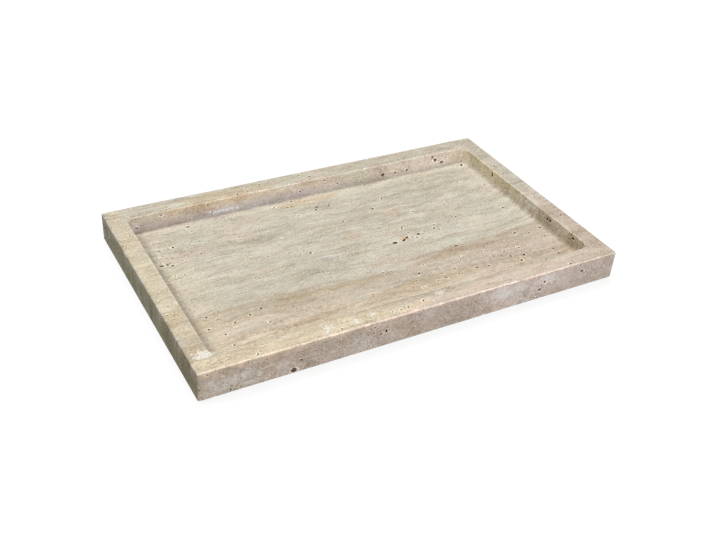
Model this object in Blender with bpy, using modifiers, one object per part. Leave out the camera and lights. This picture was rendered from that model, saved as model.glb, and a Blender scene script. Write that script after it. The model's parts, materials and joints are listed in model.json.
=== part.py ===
"""A travertine vanity tray, in metres, with +Z up.

One slab of travertine is milled from above, which leaves a rim round a shallow pocket. The slab stands
on four small silicone bumper pads, stuck under its corners. The origin is on the table, under the
middle of the tray. +X runs along the tray's length and -Y is its front.
"""
import math

import bmesh
import bpy

# The slab that the tray is cut from
SLAB_LENGTH = 0.300
SLAB_WIDTH = 0.180
SLAB_THICKNESS = 0.020
SLAB_CORNER_RADIUS = 0.0013
SLAB_ARRIS_RADIUS = 0.0008

# The pocket, milled with a bull-nose cutter that rounds its corners in plan and coves its floor
END_RIM_WIDTH = 0.013
SIDE_RIM_WIDTH = 0.014
POCKET_DEPTH = 0.011
POCKET_CORNER_RADIUS = 0.006
FLOOR_COVE_RADIUS = 0.003
POCKET_ARRIS_RADIUS = 0.0007

# The bumper pads, moulded with a draft, wide side up against the stone. The foot's diameter is that of
# its flat part, inside the rounded edge.
PAD_BASE_DIAMETER = 0.010
PAD_FOOT_DIAMETER = 0.0077
PAD_THICKNESS = 0.0015
PAD_EDGE_RADIUS = 0.0004
PAD_SETBACK = 0.022
ADHESIVE_FILM = 0.0003

# How far a cutter runs past the face that it enters
CUTTER_OVERRUN = 0.005

# Facets in each quarter turn
CORNER_STEPS = 8
POCKET_CORNER_STEPS = 12
COVE_STEPS = 8
ARRIS_STEPS = 4
PAD_STEPS = 48
PAD_EDGE_STEPS = 4

# Edges that turn more than this are left sharp by the shading, or eased by the pocket's bevel
SMOOTH_ANGLE = math.radians(35.0)
MOUTH_ANGLE = math.radians(60.0)

# Sizes that follow from the ones above
UNDERSIDE_Z = PAD_THICKNESS + ADHESIVE_FILM
TOP_Z = UNDERSIDE_Z + SLAB_THICKNESS
FLOOR_Z = TOP_Z - POCKET_DEPTH
POCKET_LENGTH = SLAB_LENGTH - 2 * END_RIM_WIDTH
POCKET_WIDTH = SLAB_WIDTH - 2 * SIDE_RIM_WIDTH
MERGE_DISTANCE = ADHESIVE_FILM / 100


def clear_scene():
    """Remove whatever the opened file holds, so that only the tray is left."""
    for old in list(bpy.data.objects):
        bpy.data.objects.remove(old, do_unlink=True)


def new_collection(name):
    """Make a collection under the scene's own."""
    collection = bpy.data.collections.new(name)
    bpy.context.scene.collection.children.link(collection)
    return collection


def new_material(name, colour, roughness, metallic=0):
    """Make a Principled material with one colour."""
    material = bpy.data.materials.new(name)
    material.use_nodes = True
    shader = material.node_tree.nodes["Principled BSDF"]
    shader.inputs["Base Color"].default_value = (*colour, 1)
    shader.inputs["Roughness"].default_value = roughness
    shader.inputs["Metallic"].default_value = metallic
    return material


def new_object(name, mesh, collection, parent, material=None):
    """Put a mesh into a collection, under a parent."""
    made = bpy.data.objects.new(name, mesh)
    collection.objects.link(made)
    made.parent = parent
    if material:
        mesh.materials.append(material)
    return made


def upright_edges(block):
    """The edges that run along Z."""
    return [e for e in block.edges if (e.verts[0].co - e.verts[1].co).xy.length < MERGE_DISTANCE]


def edges_at_height(block, height):
    """The edges whose two ends lie at one height."""
    return [e for e in block.edges if all(abs(v.co.z - height) < MERGE_DISTANCE for v in e.verts)]


def round_edges(block, edges, radius, steps):
    """Replace edges by arcs of a radius."""
    bmesh.ops.bevel(block, geom=edges, offset=radius, segments=steps, profile=0.5, affect="EDGES")


def rounded_block(length, width, height, corner_radius, corner_steps):
    """A box centred on the origin, with its four upright edges rounded."""
    block = bmesh.new()
    bmesh.ops.create_cube(block, size=1)
    bmesh.ops.scale(block, vec=(length, width, height), verts=block.verts)
    round_edges(block, upright_edges(block), corner_radius, corner_steps)
    return block


def finish_mesh(block, name):
    """Turn a bmesh into a mesh that is shaded smooth, except across its sharp edges."""
    mesh = bpy.data.meshes.new(name)
    block.to_mesh(mesh)
    block.free()
    mesh.shade_smooth()
    mesh.set_sharp_from_angle(angle=SMOOTH_ANGLE)
    return mesh


def make_pocket_cutter(collection, parent):
    """The volume that the milling takes away: rounded in plan, coved round its lower edge."""
    height = POCKET_DEPTH + CUTTER_OVERRUN
    block = rounded_block(
        POCKET_LENGTH, POCKET_WIDTH, height, POCKET_CORNER_RADIUS, POCKET_CORNER_STEPS
    )
    cove_radius = min(FLOOR_COVE_RADIUS, POCKET_CORNER_RADIUS)
    round_edges(block, edges_at_height(block, -height / 2), cove_radius, COVE_STEPS)
    cutter = new_object("pocket_cutter", finish_mesh(block, "pocket_cutter"), collection, parent)
    cutter.location.z = FLOOR_Z + height / 2
    cutter.hide_render = True
    cutter.display_type = "WIRE"
    return cutter


def make_stone_tray(collection, cutters, parent, material):
    """The slab with eased outer edges, and the pocket milled into its top."""
    block = rounded_block(
        SLAB_LENGTH, SLAB_WIDTH, SLAB_THICKNESS, SLAB_CORNER_RADIUS, CORNER_STEPS
    )
    arris_radius = min(SLAB_ARRIS_RADIUS, SLAB_CORNER_RADIUS)
    for height in (-SLAB_THICKNESS / 2, SLAB_THICKNESS / 2):
        round_edges(block, edges_at_height(block, height), arris_radius, ARRIS_STEPS)
    tray = new_object("stone_tray", finish_mesh(block, "stone_tray"), collection, parent, material)
    tray.location.z = UNDERSIDE_Z + SLAB_THICKNESS / 2

    milling = tray.modifiers.new("pocket", "BOOLEAN")
    milling.operation = "DIFFERENCE"
    milling.object = make_pocket_cutter(cutters, parent)

    easing = tray.modifiers.new("pocket_arris", "BEVEL")
    easing.width = POCKET_ARRIS_RADIUS
    easing.segments = ARRIS_STEPS
    easing.limit_method = "ANGLE"
    easing.angle_limit = MOUTH_ANGLE
    return tray


def pad_profile():
    """Half of the pad's section, from the middle of its base round to the middle of its foot."""
    base_radius = PAD_BASE_DIAMETER / 2
    foot_radius = PAD_FOOT_DIAMETER / 2
    # The drafted side runs into the rounded edge at a tangent, which sets where the rounding begins
    side_out, side_up = base_radius - foot_radius, PAD_THICKNESS - PAD_EDGE_RADIUS
    side_reach = math.hypot(side_out, side_up)
    first_turn = math.acos(PAD_EDGE_RADIUS / side_reach) - math.atan2(side_up, side_out)
    points = [(0, PAD_THICKNESS), (base_radius, PAD_THICKNESS)]
    for step in range(PAD_EDGE_STEPS + 1):
        turn = first_turn + (math.pi / 2 - first_turn) * step / PAD_EDGE_STEPS
        points.append((
            foot_radius + PAD_EDGE_RADIUS * math.cos(turn),
            PAD_EDGE_RADIUS * (1 - math.sin(turn)),
        ))
    points.append((0, 0))
    return points


def make_bumper_pad(name, x, y, collection, parent, material):
    """A flat silicone pad, turned from its half section."""
    points = pad_profile()
    mesh = bpy.data.meshes.new(name)
    mesh.from_pydata(
        [(radius, 0, height) for radius, height in points],
        [(i, i + 1) for i in range(len(points) - 1)],
        [],
    )
    pad = new_object(name, mesh, collection, parent, material)
    pad.location = (x, y, 0)

    turning = pad.modifiers.new("turning", "SCREW")
    turning.steps = PAD_STEPS
    turning.render_steps = PAD_STEPS
    turning.use_merge_vertices = True
    turning.merge_threshold = MERGE_DISTANCE
    turning.use_smooth_shade = True
    return pad


def make_tray():
    """Make every piece of the tray."""
    clear_scene()
    collection = new_collection("travertine_vanity_tray")
    cutters = new_collection("cutters")

    table_point = bpy.data.objects.new("table_point", None)
    collection.objects.link(table_point)

    stone = new_material("travertine", (0.56, 0.49, 0.39), 0.55)
    silicone = new_material("clear_silicone", (0.74, 0.74, 0.71), 0.35)

    make_stone_tray(collection, cutters, table_point, stone)

    pad_x = SLAB_LENGTH / 2 - PAD_SETBACK
    pad_y = SLAB_WIDTH / 2 - PAD_SETBACK
    for side, y in (("front", -pad_y), ("back", pad_y)):
        for end, x in (("left", -pad_x), ("right", pad_x)):
            make_bumper_pad(f"bumper_pad_{side}_{end}", x, y, collection, table_point, silicone)


make_tray()
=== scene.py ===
# %% [markdown]
# # A travertine vanity tray
# Travertine is a stone that hot springs lay down in beds, with gas bubbles and bits of moss trapped
# between them. A tray like this one is cut from a 20 mm slab: the edges are eased by hand, a pocket is
# milled into the top, and the surface is honed but not filled, so the voids stay open.
#
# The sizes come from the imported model, which stands in the same place and in metres. This script only
# makes the looks: a finer skin for the stone, its voids and chips, the finishes, the light and the
# camera.

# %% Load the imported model
import json
import math
import random
from types import SimpleNamespace

import bmesh
import bpy
from mathutils import Matrix, Vector, noise


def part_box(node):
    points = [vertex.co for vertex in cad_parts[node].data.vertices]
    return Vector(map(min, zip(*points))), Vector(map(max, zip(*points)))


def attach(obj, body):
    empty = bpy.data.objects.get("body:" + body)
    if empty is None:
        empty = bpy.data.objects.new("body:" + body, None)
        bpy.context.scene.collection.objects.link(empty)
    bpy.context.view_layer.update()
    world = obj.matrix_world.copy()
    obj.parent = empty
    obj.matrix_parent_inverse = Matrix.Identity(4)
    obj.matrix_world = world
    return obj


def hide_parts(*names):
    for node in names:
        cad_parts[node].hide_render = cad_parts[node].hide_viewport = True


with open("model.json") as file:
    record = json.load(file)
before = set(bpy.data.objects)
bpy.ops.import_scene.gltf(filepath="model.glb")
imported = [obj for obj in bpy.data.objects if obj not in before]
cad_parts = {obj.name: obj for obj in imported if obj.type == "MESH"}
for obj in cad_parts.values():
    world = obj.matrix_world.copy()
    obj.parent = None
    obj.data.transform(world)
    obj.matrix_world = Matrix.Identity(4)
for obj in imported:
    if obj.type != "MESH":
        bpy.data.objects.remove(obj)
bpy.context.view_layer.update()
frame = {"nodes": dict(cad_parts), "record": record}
print("nodes:", sorted(frame["nodes"]))

# %% Sizes of the stone, in metres
MM = 0.001
slab_low, slab_high = (Vector(corner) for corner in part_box("stone_tray"))
half_length, half_width = slab_high.x, slab_high.y
underside, top = slab_low.z, slab_high.z
floor_height = next(
    mount["pos_m"][2] for mount in frame["record"]["mounts"] if mount["name"] == "pocket_floor"
)
end_rim, side_rim = 13 * MM, 14 * MM
pocket_length, pocket_width = half_length - end_rim, half_width - side_rim
corner_radius, pocket_corner = 1.3 * MM, 6 * MM
arris, mouth_arris, foot_arris, cove = 0.8 * MM, 0.7 * MM, 0.5 * MM, 3 * MM
print("slab:", [round(side / MM, 1) for side in slab_high - slab_low], "mm")
print("pocket floor:", round((top - floor_height) / MM, 1), "mm down")

# %% [markdown]
# ## Camera
# The camera stands in front of the tray, to its left, and looks down at it. Its place was worked out
# from the straight edges of the slab: their vanishing points give the lens and the tilt, and the tray's
# size gives the distance. It leans a few degrees, as a hand-held camera does, so the turns are kept as
# three plain angles.

# %% Camera
CAMERA_PLACE = Vector((-0.2805, -0.4650, 0.3723))
CAMERA_YAW, CAMERA_PITCH, CAMERA_ROLL = (math.radians(angle) for angle in (31.23, 35.06, 4.50))
LENS_MM, SENSOR_MM = 48.01, 36
NEAREST_SEEN = 10 * MM

camera = bpy.data.objects.new("camera", bpy.data.cameras.new("camera"))
camera.data.lens = LENS_MM
camera.data.sensor_width = SENSOR_MM
camera.data.clip_start = NEAREST_SEEN
turn = (
    Matrix.Rotation(-CAMERA_YAW, 4, "Z")
    @ Matrix.Rotation(math.pi / 2 - CAMERA_PITCH, 4, "X")
    @ Matrix.Rotation(CAMERA_ROLL, 4, "Z")
)
camera.matrix_world = Matrix.Translation(CAMERA_PLACE) @ turn
scene = bpy.context.scene
scene.collection.objects.link(camera)
scene.camera = camera
scene.view_settings.view_transform = "Standard"
print("camera is", round(CAMERA_PLACE.length, 3), "m from the middle of the tray")


# %% [markdown]
# ## Helpers for node trees
# A material in Blender is a tree of nodes. A few small helpers keep the trees short to read: one adds a
# node, sets its options and fills its inputs with a value or with a link, and others do a sum, a soft
# step, a mix of two colours, and start a group with its named sockets.

# %% Add a node
def add(tree, kind, inputs=None, **options):
    """Add a node. An input that is given an output socket is linked, any other is set."""
    made = tree.nodes.new("ShaderNode" + kind)
    for name, value in options.items():
        setattr(made, name, value)
    for name, value in (inputs or {}).items():
        if isinstance(value, bpy.types.NodeSocket):
            tree.links.new(value, made.inputs[name])
        else:
            made.inputs[name].default_value = value
    return made


# %% Sums, steps and mixes
def maths(tree, operation, first, second=0.0, third=0.0, clamp=False):
    """The result of one sum on plain numbers."""
    inputs = {0: first, 1: second, 2: third}
    return add(tree, "Math", inputs, operation=operation, use_clamp=clamp).outputs[0]


def times(tree, first, second):
    """The product of two numbers."""
    return maths(tree, "MULTIPLY", first, second)


def total(tree, start, *terms):
    """Add values up, each with its weight."""
    for value, weight in terms:
        start = maths(tree, "MULTIPLY_ADD", value, weight, start)
    return start


def smooth(tree, value, low, high, to_low=0.0, to_high=1.0):
    """A soft step of a value, from one level to another."""
    inputs = {"Value": value, "From Min": low, "From Max": high, "To Min": to_low, "To Max": to_high}
    return add(tree, "MapRange", inputs, interpolation_type="SMOOTHSTEP").outputs["Result"]


def mix(tree, amount, first, second, blend="MIX"):
    """Two colours, mixed."""
    made = add(tree, "Mix", data_type="RGBA", blend_type=blend)
    for index, value in ((0, amount), (6, first), (7, second)):
        if isinstance(value, bpy.types.NodeSocket):
            tree.links.new(value, made.inputs[index])
        elif index:
            made.inputs[index].default_value = (*value[:3], 1)
        else:
            made.inputs[index].default_value = value
    return made.outputs[2]


def cover(tree, colour, paint, mask, strength=1.0, blend="MIX"):
    """A colour with a paint over it where a mask says so, or with a tint if the blend is MULTIPLY."""
    return mix(tree, times(tree, mask, strength), colour, paint, blend)


# %% Groups
def new_group(name, inputs, outputs, kind="Float"):
    """An empty shader group, its inputs and its end. A default that is no plain number means a vector."""
    group = bpy.data.node_groups.new(name, "ShaderNodeTree")
    for label, value in inputs.items():
        socket_type = "NodeSocketFloat" if isinstance(value, float) else "NodeSocketVector"
        socket = group.interface.new_socket(label, in_out="INPUT", socket_type=socket_type)
        if value is not None:
            socket.default_value = value
    for label in outputs:
        group.interface.new_socket(label, in_out="OUTPUT", socket_type="NodeSocket" + kind)
    print("group:", name, "puts out", outputs)
    return group, group.nodes.new("NodeGroupInput").outputs, group.nodes.new("NodeGroupOutput")


def use(tree, group, **inputs):
    """Place a group in a tree. An underscore in a name stands for a space."""
    made = tree.nodes.new("ShaderNodeGroup")
    made.node_tree = group
    for name, value in inputs.items():
        socket = made.inputs[name.replace("_", " ")]
        if isinstance(value, bpy.types.NodeSocket):
            tree.links.new(value, socket)
        else:
            socket.default_value = value
    return made.outputs


# %% Materials
def start_material(material):
    """A material's tree and shader, with the place on the object in millimetres and its facing."""
    material.use_nodes = True
    tree = material.node_tree
    given = add(tree, "TexCoord").outputs
    place = add(tree, "VectorMath", {0: given["Object"], "Scale": 1 / MM}, operation="SCALE").outputs[0]
    return tree, tree.nodes["Principled BSDF"], place, given["Normal"]


# %% [markdown]
# ## Floor and light
# The tray lies on a white floor in a dark studio with three big lamps. One stands low in front and
# lights the front face and the far wall of the pocket. Two hang behind the tray, left and right. They
# light the top, and because they come from behind, the left and back walls throw a soft shadow on the
# pocket floor, and the voids look dark. So the depth of the stone shows.
# A white floor would throw so much light up that the dark end face went flat, so to all but the camera
# and reflections it is a dark grey. To the camera it glows, so that it stays white away from the lamps,
# and a part of its white is lit, so that it keeps a faint shadow of the tray.

# %% Floor
FLOOR_HALF = 4.0
FLOOR_BOUNCE, FLOOR_SEEN, FLOOR_GLOW = 0.08, 0.16, 0.89

floor_mesh = bpy.data.meshes.new("studio_floor")
shape = bmesh.new()
bmesh.ops.create_grid(shape, x_segments=1, y_segments=1, size=FLOOR_HALF)
shape.to_mesh(floor_mesh)
shape.free()
studio_floor = bpy.data.objects.new("studio_floor", floor_mesh)
scene.collection.objects.link(studio_floor)

floor_paint = bpy.data.materials.new("studio_white")
tree, paint = start_material(floor_paint)[:2]
path = add(tree, "LightPath").outputs
seen = maths(tree, "ADD", path["Is Camera Ray"], path["Is Glossy Ray"], clamp=True)
seen = maths(tree, "ADD", seen, path["Is Transmission Ray"], clamp=True)
paint.inputs["Roughness"].default_value = 0.9
paint.inputs["Specular IOR Level"].default_value = 0.0
tone = mix(tree, seen, (FLOOR_BOUNCE,) * 3, (FLOOR_SEEN,) * 3)
tree.links.new(tone, paint.inputs["Base Color"])
tree.links.new(mix(tree, seen, (0, 0, 0), (FLOOR_GLOW,) * 3), paint.inputs["Emission Color"])
paint.inputs["Emission Strength"].default_value = 1.0
floor_mesh.materials.append(floor_paint)

# %% Sky
SKY_STRENGTH = 0.04
world = bpy.data.worlds.new("studio")
scene.world = world
world.use_nodes = True
tree = world.node_tree
path = add(tree, "LightPath").outputs
sky = tree.nodes["Background"]
sky.inputs["Color"].default_value = (0.98, 1.0, 0.99, 1)
sky.inputs["Strength"].default_value = SKY_STRENGTH
white = add(tree, "Background", {"Color": (1, 1, 1, 1), "Strength": 1.0})
choice = add(tree, "MixShader", {0: path["Is Camera Ray"], 1: sky.outputs[0], 2: white.outputs[0]})
tree.links.new(choice.outputs[0], tree.nodes["World Output"].inputs["Surface"])


# %% Lamps
LAMP_AWAY = 3.5


def area_lamp(name, heading, height, power, size):
    """A square lamp that faces the tray. The heading is in degrees, from the front round by the left."""
    lamp = bpy.data.lights.new(name, "AREA")
    lamp.shape = "SQUARE"
    lamp.size = size
    lamp.energy = power
    made = bpy.data.objects.new(name, lamp)
    around, up = math.radians(heading), math.radians(height)
    outwards = Vector((-math.sin(around) * math.cos(up), -math.cos(around) * math.cos(up), math.sin(up)))
    turn = (-outwards).to_track_quat("-Z", "Y").to_matrix().to_4x4()
    made.matrix_world = Matrix.Translation(outwards * LAMP_AWAY) @ turn
    scene.collection.objects.link(made)
    print(name, "stands at", [round(side, 2) for side in made.matrix_world.translation])


area_lamp("front_lamp", 0, 15, 84, 1.5)
area_lamp("back_left_lamp", 104, 50, 50, 0.8)
area_lamp("back_right_lamp", 205, 68, 71, 1.0)

# %% [markdown]
# ## The slab's skin
# The pocket and the slab have the same kind of outline, a rectangle with round corners. So one profile
# can be swept round both: it starts at the edge of the underside, goes up the outer face, over the rim,
# down the pocket wall and round the cove to the floor. Two flat faces then close it. This is better
# than a bevelled box here, because the arris, the small rounding that a hand stone leaves along each
# edge, can change a little along the way as the real one does.

# %% Paths and profile
CORNER_STEPS, ARRIS_STEPS, COVE_STEPS = 12, 4, 8
RUN = 3 * MM
ARRIS_WOBBLE_SHARE, ARRIS_WAVE = 0.35, 9 * MM


def rounded_path(half_x, half_y, radius, runs):
    """Anchors round a rectangle, anticlockwise, each with the direction that leads outwards."""
    signs = [(1, 1), (-1, 1), (-1, -1), (1, -1)]
    corners = [Vector((x * (half_x - radius), y * (half_y - radius))) for x, y in signs]
    anchors = []
    for index, corner in enumerate(corners):
        start = index * math.pi / 2
        for step in range(CORNER_STEPS + 1):
            angle = start + math.pi / 2 * step / CORNER_STEPS
            anchors.append((corner, Vector((math.cos(angle), math.sin(angle)))))
        following = corners[(index + 1) % 4]
        for step in range(1, runs[index % 2]):
            anchors.append((corner.lerp(following, step / runs[index % 2]), anchors[-1][1]))
    return anchors


def quarter(steps):
    """The cosine and sine of the steps of a quarter turn."""
    angles = [math.pi / 2 * step / steps for step in range(steps + 1)]
    return [(math.cos(angle), math.sin(angle)) for angle in angles]


runs = (round(2 * half_length / RUN), round(2 * half_width / RUN))
outer_path = rounded_path(half_length, half_width, corner_radius, runs)
pocket_path = rounded_path(pocket_length, pocket_width, pocket_corner, runs)

# Each station: path, radius from the anchor, height, and how far the arris moves it out and up.
bends = quarter(ARRIS_STEPS)
stations = [(outer_path, corner_radius, underside, s - 1, 1 - c, foot_arris) for c, s in bends]
stations += [(outer_path, corner_radius, (underside + top) / 2, 0, 0, arris)]
stations += [(outer_path, corner_radius, top, c - 1, s - 1, arris) for c, s in bends]
stations += [(pocket_path, pocket_corner, top, 1 - s, c - 1, mouth_arris) for c, s in bends]
stations += [
    (pocket_path, pocket_corner - cove * (1 - c), floor_height + cove * (1 - s), 0, 0, cove)
    for c, s in quarter(COVE_STEPS)
]
print("path points:", len(outer_path), "stations:", len(stations))


# %% Sweep the profile
def sweep_slab():
    """The stone before it has any voids, as a closed mesh."""
    slab = bmesh.new()
    rings = []
    for path, radius, height, out, up, size in stations:
        ring = []
        for anchor, outward in path:
            flat = anchor + outward * radius
            wave = noise.noise(Vector((flat.x, flat.y, height)) / ARRIS_WAVE)
            eased = size * (1 + ARRIS_WOBBLE_SHARE * wave)
            flat += outward * (out * eased)
            ring.append(slab.verts.new((flat.x, flat.y, height + up * eased)))
        rings.append(ring)
    count = len(outer_path)
    for lower, upper in zip(rings, rings[1:]):
        for i in range(count):
            j = (i + 1) % count
            slab.faces.new((lower[i], lower[j], upper[j], upper[i]))
    slab.faces.new(reversed(rings[0]))
    slab.faces.new(rings[-1])
    return slab


slab = sweep_slab()
bmesh.ops.recalc_face_normals(slab, faces=slab.faces)
print("slab faces:", len(slab.faces), "volume:", round(slab.calc_volume() * 1e6), "cm3")

# %% [markdown]
# ## Voids and chips
# Open voids are what makes travertine look like itself. Each is a small hollow with a ragged mouth, and
# on the top they lie along the beds in loose lines. Painting dark spots would look flat from close by,
# so every void is really cut: a rough blob of its size is taken out of the stone with a Boolean. The
# larger ones follow the real tray, each given by its place on a face, and small ones are scattered by a
# seeded draw.

# %% Faces that voids are placed on
# Each: the corner that its places are measured from, the way along it and the way down it
FACES = {
    "rim": ((-half_length, half_width, top), (1, 0, 0), (0, -1, 0)),
    "floor": ((-pocket_length, pocket_width, floor_height), (1, 0, 0), (0, -1, 0)),
    "front": ((-half_length, -half_width, top), (1, 0, 0), (0, 0, -1)),
    "back": ((half_length, half_width, top), (-1, 0, 0), (0, 0, -1)),
    "left": ((-half_length, half_width, top), (0, -1, 0), (0, 0, -1)),
    "right": ((half_length, -half_width, top), (0, 1, 0), (0, 0, -1)),
    "back_wall": ((-pocket_length, pocket_width, top), (1, 0, 0), (0, 0, -1)),
    "right_wall": ((pocket_length, pocket_width, top), (0, -1, 0), (0, 0, -1)),
    "underside": ((-half_length, -half_width, underside), (1, 0, 0), (0, 1, 0)),
}
print("faces:", list(FACES))

# %% Voids of the real tray
# Each: millimetres along the face, millimetres down it, length, width, depth, and slant in degrees.
VOIDS = {
    "floor": [
        (163, 82, 3.4, 2.3, 1.9, -15), (170.4, 81.5, 2.9, 2, 1.6, 20), (173.9, 79.5, 2.3, 1.6, 1.5, 40),
        (184, 78.8, 2.4, 1.7, 1.3, 0), (198.4, 76.5, 1.8, 1.2, 0.9, 10), (131.8, 22.2, 2, 1.5, 1.3, 0),
        (143, 20.2, 1.6, 1.2, 0.9, 0), (170.8, 36.9, 1.9, 1.4, 0.9, 0), (196, 24.8, 1.7, 1, 0.9, 35),
        (183.6, 26.9, 2.7, 1, 0.8, 40), (8.4, 45.9, 3, 1.5, 1.1, 0), (14.8, 48.1, 2, 1.3, 1.2, 0),
        (22, 28.2, 2.2, 1.2, 1.1, 20), (12.4, 28.9, 2.8, 0.9, 0.9, -10),
        (103.6, 70.1, 1.8, 1.4, 1.1, 0), (261.4, 72.5, 1.6, 1.3, 1, 0), (268.6, 6.3, 3.8, 1.5, 1.1, 60),
        (200.4, 102, 3.5, 1, 1, 0), (248.4, 104.8, 2.3, 1.2, 1, 25), (232.4, 134.8, 2.2, 1.4, 1.4, 45),
        (238, 130, 2, 1.3, 1.3, 25), (228.4, 127.5, 1.9, 1.3, 1, 0), (199, 129.6, 1.5, 1.2, 0.9, 0),
        (159, 120, 2.4, 1.1, 1.1, 50), (166.4, 132.2, 1.2, 0.9, 0.9, 0),
        (14.8, 107.5, 1.5, 1.1, 0.6, 0), (12, 119, 1.5, 1.2, 1, 0), (213.4, 114.1, 1.2, 0.9, 0.8, 0),
        (177, 67.5, 3.5, 1, 0.8, 55), (258.4, 108.5, 1.3, 0.9, 0.5, 0), (20.4, 138.6, 1.6, 1, 0.9, 0),
        (40, 8.2, 2.8, 1.4, 1, 10), (36.8, 41.9, 1.3, 1, 0.8, 0), (105, 8, 1.8, 1.2, 0.9, 20),
        (120.4, 5.1, 2, 1.2, 0.9, 20), (178, 80.3, 1.6, 1.2, 0.8, 0), (180.8, 82.1, 1.4, 1.1, 0.7, 0),
        (201, 79, 1.3, 1, 0.7, 0), (19.4, 127.5, 1.5, 1, 0.8, 0), (48.8, 112.5, 1.7, 1.3, 0.9, 0),
        (88.4, 120.5, 1.3, 0.7, 0.6, 10), (177, 121, 1.1, 0.8, 0.6, 20), (194, 117.1, 1.2, 0.7, 0.7, 0),
        (246.4, 121, 1.3, 0.8, 0.7, 30), (266.4, 116.5, 1.6, 0.9, 0.9, 40),
        (270, 106.5, 1.8, 1.2, 0.8, 0), (173.4, 131.2, 1.6, 1.1, 0.8, 0),
        (207.8, 131.4, 1.5, 1.2, 0.8, 0), (221.4, 69.5, 1.6, 1.1, 0.7, 20),
        (262.8, 136.2, 1.5, 1.1, 0.7, 0), (29, 119, 2.7, 0.7, 0.7, 35),
    ],
    "rim": [
        (138.2, 174.3, 1.5, 1, 1, 40), (150.2, 172.3, 1.4, 1.2, 1.1, 0), (37.2, 177.5, 2.1, 0.6, 1, 65),
        (262.2, 177.5, 2.4, 0.9, 1, 10), (9.7, 32.9, 1.3, 1, 1, 0), (292.2, 47.5, 1.9, 1.4, 0.9, 30),
        (294.9, 125.9, 1.8, 1.2, 0.8, 0), (152.8, 8.1, 2.3, 1.2, 0.8, 10),
        (3.2, 123.9, 1.1, 0.9, 0.8, 0),
    ],
    "front": [
        (19.5, 17.9, 0.8, 2.2, 1.2, 0), (63.5, 11.5, 1.4, 1.1, 1.1, 0), (58.8, 17.7, 3.4, 2.5, 2.1, 0),
        (116.5, 9.9, 1.9, 1.3, 0.9, 30), (120.2, 8.9, 1.3, 2, 1.6, 0), (240, 7, 1.9, 1.6, 1.3, 0),
        (236.8, 12.7, 2.2, 1.6, 1.7, 30), (269, 1.9, 1.4, 0.8, 0.8, 0), (271.3, 7.1, 2.8, 1.6, 1.5, 0),
        (184.5, 6.2, 1.1, 0.9, 0.5, 0), (6, 2.3, 1.2, 0.8, 0.7, 0),
    ],
    "back_wall": [
        (58.1, 2.2, 1.3, 1.1, 1.3, 0), (200, 8.6, 2.6, 2.1, 1.7, 20), (210.8, 8.8, 1.7, 1.4, 1.1, 0),
        (221.3, 8.8, 2.8, 1.3, 1.2, 20), (244.3, 2.3, 2, 1.2, 1.3, 60), (246.9, 5.2, 2.5, 3, 2.2, 20),
        (253.3, 8.3, 2.8, 1.7, 1.6, 15), (149.9, 2.6, 1.7, 1, 0.8, 0), (160.7, 7.4, 1.5, 0.9, 0.7, 20),
        (121.9, 10.2, 3.2, 1.4, 1.1, 10), (129.7, 7.6, 1.6, 1.4, 0.8, 0),
        (6.7, 8.4, 2.6, 0.9, 0.8, -30), (226.7, 10.4, 1.9, 1.4, 1, 0), (24.3, 2.6, 1.6, 1.1, 0.7, 0),
    ],
    "right_wall": [
        (39.2, 3.4, 1.8, 3.4, 1.6, 0), (107.7, 3.9, 1.7, 1.4, 1.3, -30), (110.9, 3.4, 1.9, 1.7, 1.6, 0),
        (108.2, 6.9, 2.3, 1.1, 1.1, -25), (136.5, 3.2, 2.4, 2, 1.3, 0), (138.6, 4.9, 1.7, 1.4, 1.3, 0),
        (102.6, 3, 1.1, 0.9, 0.7, 0), (115.4, 9.4, 0.9, 1.2, 0.8, 0), (91, 10.2, 1.9, 1.2, 0.9, 0),
    ],
}

# %% Small voids of the real tray
# Many of the small ones are about alike: a length, width and depth, and their places on each face.
SMALL_VOIDS = {
    (1.7, 1.2, 0.7): {
        "floor": [(133.7, 19.3), (114.3, 11.4), (261.9, 138), (12.1, 45.9)],
    },
    (1.5, 1.1, 0.6): {
        "floor": [(195.6, 51.6), (40.2, 115.6), (137.4, 109.9), (239.9, 121.4), (142.5, 43.7)],
        "rim": [(146.2, 4.2), (292.1, 59.3), (114.1, 5.4), (94.2, 11.7)],
        "right_wall": [(145.3, 6.4)],
    },
    (1.3, 0.9, 0.5): {
        "floor": [
            (48.3, 127.1), (201, 72.7), (217.9, 110.8), (178.3, 74.4), (227.3, 121.1), (183.4, 130.9),
            (266, 49.4), (184.5, 124.6), (268, 39), (97.4, 68), (261.7, 132), (194.4, 30.5),
        ],
        "rim": [(250.5, 166.9), (132.9, 174.7), (91, 176.8)],
        "front": [(243.1, 2.6)],
        "back_wall": [(257.8, 5.3), (209.5, 10.4)],
    },
}
for size, places in SMALL_VOIDS.items():
    for face, spots in places.items():
        VOIDS[face] += [(*spot, *size, 0) for spot in spots]
print("voids placed by hand:", sum(len(rows) for rows in VOIDS.values()))


# %% Blobs to cut with
SEEDS, SEED_STEPS = 90, (7.31, 3.17, 5.73)
COARSE_WAVES, FINE_WAVES, FINE_SHARE = 1.4, 3.4, 0.6


def add_blob(cutter, centre, along, down, size, seed, detail, rough=0.4):
    """Add a ragged, closed blob, stretched along a face."""
    inward = along.cross(down)
    offset = Vector([seed * step for step in SEED_STEPS])
    for vert in bmesh.ops.create_icosphere(cutter, subdivisions=detail, radius=1)["verts"]:
        fine = noise.noise(vert.co * FINE_WAVES + offset)
        spot = vert.co * (1 + rough * (noise.noise(vert.co * COARSE_WAVES + offset) + FINE_SHARE * fine))
        vert.co = centre + along * spot.x * size[0] + down * spot.y * size[1] + inward * spot.z * size[2]


def slanted(along, down, degrees):
    """The two directions of a face, turned in its plane."""
    turned = math.radians(degrees)
    return (
        along * math.cos(turned) - down * math.sin(turned),
        along * math.sin(turned) + down * math.cos(turned),
    )


taken = {"void": [], "flake": []}


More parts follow.
